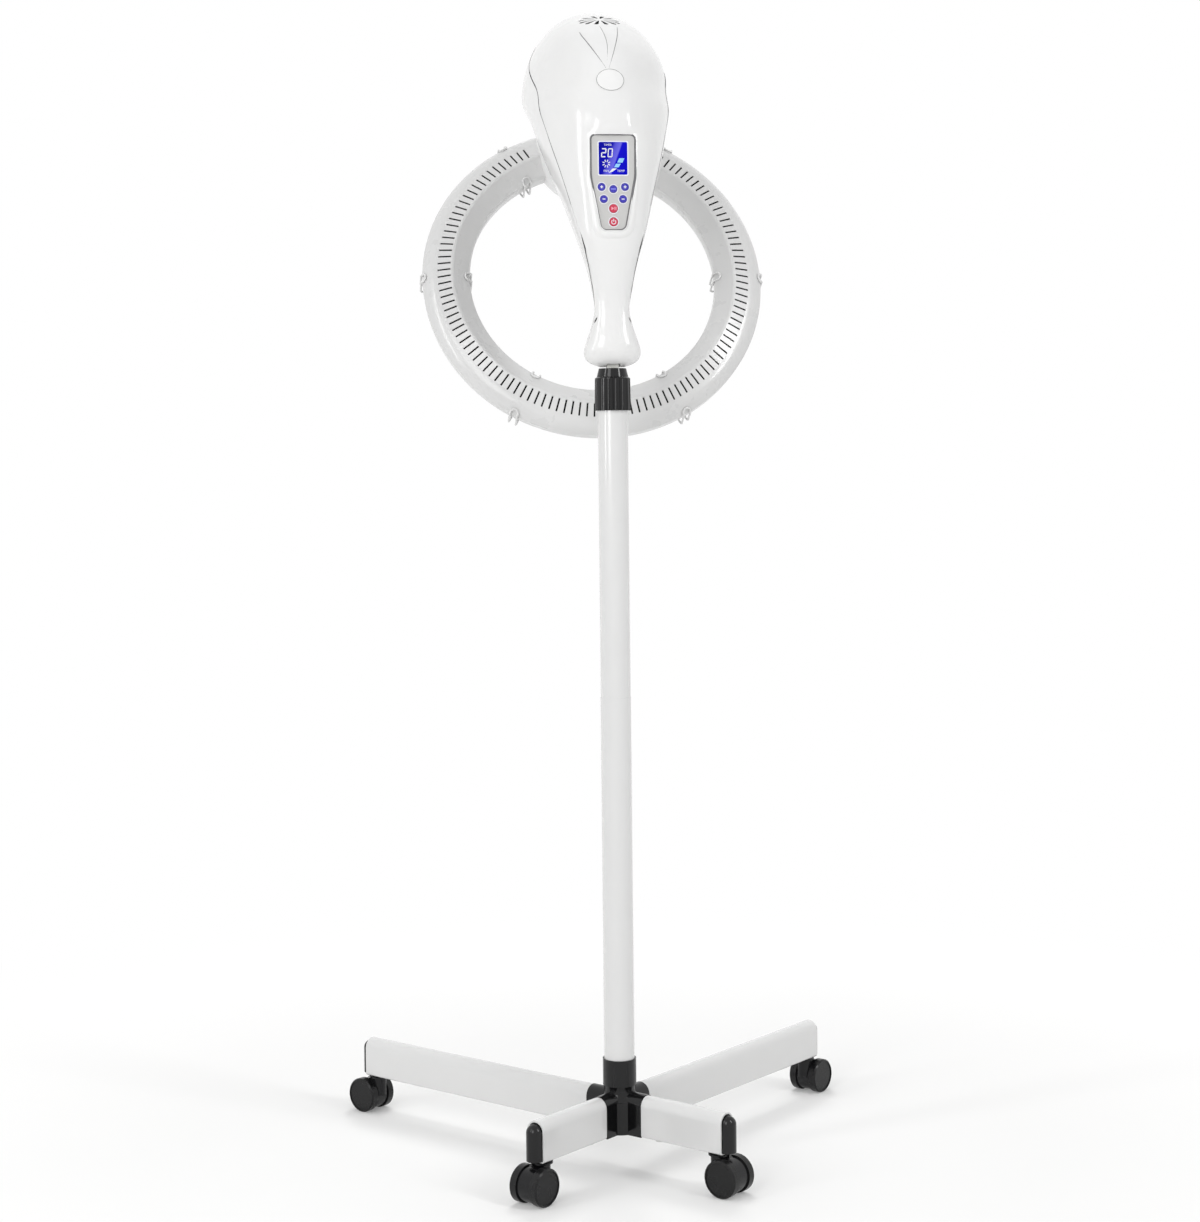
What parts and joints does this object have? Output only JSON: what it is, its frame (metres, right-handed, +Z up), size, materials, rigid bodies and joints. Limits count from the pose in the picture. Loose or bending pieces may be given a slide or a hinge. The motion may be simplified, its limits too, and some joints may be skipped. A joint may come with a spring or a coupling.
{
  "type": "hair color processor",
  "caption": "Free-standing salon hair color processor with a teardrop control head and an orbiting heating ring on a telescopic pole and caster base.",
  "frame": {"origin": "on the floor at the pole's axis, level with the underside of the caster wheels", "axes": "+Z up the pole, +Y towards the client and the heating ring, -Y towards the operator"},
  "size_m": [0.6752, 0.5052, 1.4808],
  "materials": {
    "white_gloss": "moulded, high gloss",
    "ring_white": "moulded, satin gloss",
    "dome_white": "moulded, high gloss",
    "white_enamel": "powder coat, smooth gloss",
    "black_plastic": "moulded, satin",
    "grey_panel": "moulded, fine matte",
    "display": "clear window over a lit blue display",
    "circuit": "coated board",
    "blue_key": "moulded, gloss",
    "red_key": "moulded, gloss",
    "caster_black": "moulded, satin",
    "tyre_black": "smooth",
    "steel": "machined",
    "zinc": "zinc plated",
    "reflector": "bright rolled",
    "quartz": "frosted quartz",
    "ceramic": "fired ceramic",
    "guard": "coated wire",
    "badge": "bare oval plate, satin"
  },
  "bodies": {
    "stand": {"base_hub": "black_plastic", "leg_rear_left": "white_enamel", "leg_rear_right": "white_enamel", "leg_front_left": "white_enamel", "leg_front_right": "white_enamel", "leg_plug_rear_left": "black_plastic", "leg_plug_rear_right": "black_plastic", "leg_plug_front_left": "black_plastic", "leg_plug_front_right": "black_plastic", "leg_screws": "zinc", "pole_lower": "white_enamel", "pole_upper": "white_enamel", "pole_spigot": "zinc", "pole_bolt": "zinc", "lock_collet": "black_plastic"},
    "collar": {"lock_collar": "black_plastic"},
    "mast": {"mast_tube": "steel", "mast_bush": "black_plastic"},
    "swivel": {"tilt_bracket": "zinc"},
    "head": {"front_cover": "white_gloss", "rear_cover": "white_gloss", "head_spine": "zinc", "panel_plate": "grey_panel", "lcd_window": "display", "display_module": "circuit", "main_board": "circuit", "badge_plate": "badge", "cover_screws": "zinc", "cord_gland": "black_plastic", "tilt_pin": "steel", "friction_washers": "black_plastic", "orbit_turret": "white_gloss", "orbit_gearmotor": "zinc", "orbit_bearing": "steel"},
    "halo": {"orbit_shaft": "steel", "orbit_dome": "dome_white", "orbit_cap": "dome_white", "ring_rear_shell": "ring_white", "ring_front_shell": "ring_white", "reflector": "reflector", "heater_tubes": "quartz", "tube_holders": "ceramic", "wire_guard": "guard", "slip_ring": "black_plastic"},
    "pole_snap": {"snap_button": "steel"},
    "key_time_up": {"button_time_up": "blue_key"},
    "key_heat_up": {"button_heat_up": "blue_key"},
    "key_mode": {"button_mode": "blue_key"},
    "key_time_down": {"button_time_down": "blue_key"},
    "key_heat_down": {"button_heat_down": "blue_key"},
    "key_start": {"button_start": "red_key"},
    "key_power": {"button_power": "red_key"},
    "caster_rear_left": {"caster_rear_left_hood": "caster_black"},
    "wheels_rear_left": {"caster_rear_left_wheels": "tyre_black"},
    "caster_rear_right": {"caster_rear_right_hood": "caster_black"},
    "wheels_rear_right": {"caster_rear_right_wheels": "tyre_black"},
    "caster_front_left": {"caster_front_left_hood": "caster_black"},
    "wheels_front_left": {"caster_front_left_wheels": "tyre_black"},
    "caster_front_right": {"caster_front_right_hood": "caster_black"},
    "wheels_front_right": {"caster_front_right_wheels": "tyre_black"}
  },
  "joints": [
    {"name": "collar_turn", "type": "hinge", "parent": "stand", "child": "collar", "pos_m": [0, 0, 0.976], "axis": [0, 0, 1], "range_deg": [0, 60]},
    {"name": "mast_raise", "type": "slide", "parent": "stand", "child": "mast", "axis": [0, 0, 1], "range_m": [0, 0.25]},
    {"name": "head_swivel", "type": "hinge", "parent": "mast", "child": "swivel", "pos_m": [0, 0, 1], "axis": [0, 0, 1], "range_deg": [-170, 170]},
    {"name": "head_tilt", "type": "hinge", "parent": "swivel", "child": "head", "pos_m": [0, 0, 1.03], "axis": [-1, 0, 0], "range_deg": [-15, 20]},
    {"name": "halo_orbit", "type": "hinge", "parent": "head", "child": "halo", "pos_m": [0, 0.28707, 1.30876], "axis": [0, 0.6717, -0.7408], "continuous": true},
    {"name": "pole_snap_press", "type": "slide", "parent": "stand", "child": "pole_snap", "axis": [-1, 0, 0], "range_m": [0, 0.0035], "stiffness_N_per_m": 2500},
    {"name": "press_time_up", "type": "slide", "parent": "head", "child": "key_time_up", "axis": [0, 1, 0], "range_m": [0, 0.0008], "stiffness_N_per_m": 1500},
    {"name": "press_heat_up", "type": "slide", "parent": "head", "child": "key_heat_up", "axis": [0, 1, 0], "range_m": [0, 0.0008], "stiffness_N_per_m": 1500},
    {"name": "press_mode", "type": "slide", "parent": "head", "child": "key_mode", "axis": [0, 1, 0], "range_m": [0, 0.0008], "stiffness_N_per_m": 1500},
    {"name": "press_time_down", "type": "slide", "parent": "head", "child": "key_time_down", "axis": [0, 1, 0], "range_m": [0, 0.0008], "stiffness_N_per_m": 1500},
    {"name": "press_heat_down", "type": "slide", "parent": "head", "child": "key_heat_down", "axis": [0, 1, 0], "range_m": [0, 0.0008], "stiffness_N_per_m": 1500},
    {"name": "press_start", "type": "slide", "parent": "head", "child": "key_start", "axis": [0, 1, 0], "range_m": [0, 0.0008], "stiffness_N_per_m": 1500},
    {"name": "press_power", "type": "slide", "parent": "head", "child": "key_power", "axis": [0, 1, 0], "range_m": [0, 0.0008], "stiffness_N_per_m": 1500},
    {"name": "caster_turn_rear_left", "type": "hinge", "parent": "stand", "child": "caster_rear_left", "pos_m": [-0.29698, 0.29698, 0.06], "axis": [0, 0, 1], "continuous": true},
    {"name": "wheel_roll_rear_left", "type": "hinge", "parent": "caster_rear_left", "child": "wheels_rear_left", "pos_m": [-0.30759, 0.30759, 0.023], "axis": [-0.7071, -0.7071, 0], "continuous": true},
    {"name": "caster_turn_rear_right", "type": "hinge", "parent": "stand", "child": "caster_rear_right", "pos_m": [0.29698, 0.29698, 0.06], "axis": [0, 0, 1], "continuous": true},
    {"name": "wheel_roll_rear_right", "type": "hinge", "parent": "caster_rear_right", "child": "wheels_rear_right", "pos_m": [0.30759, 0.30759, 0.023], "axis": [-0.7071, 0.7071, 0], "continuous": true},
    {"name": "caster_turn_front_left", "type": "hinge", "parent": "stand", "child": "caster_front_left", "pos_m": [-0.10748, -0.10748, 0.06], "axis": [0, 0, 1], "continuous": true},
    {"name": "wheel_roll_front_left", "type": "hinge", "parent": "caster_front_left", "child": "wheels_front_left", "pos_m": [-0.11809, -0.11809, 0.023], "axis": [0.7071, -0.7071, 0], "continuous": true},
    {"name": "caster_turn_front_right", "type": "hinge", "parent": "stand", "child": "caster_front_right", "pos_m": [0.10748, -0.10748, 0.06], "axis": [0, 0, 1], "continuous": true},
    {"name": "wheel_roll_front_right", "type": "hinge", "parent": "caster_front_right", "child": "wheels_front_right", "pos_m": [0.11809, -0.11809, 0.023], "axis": [0.7071, 0.7071, 0], "continuous": true}
  ]
}
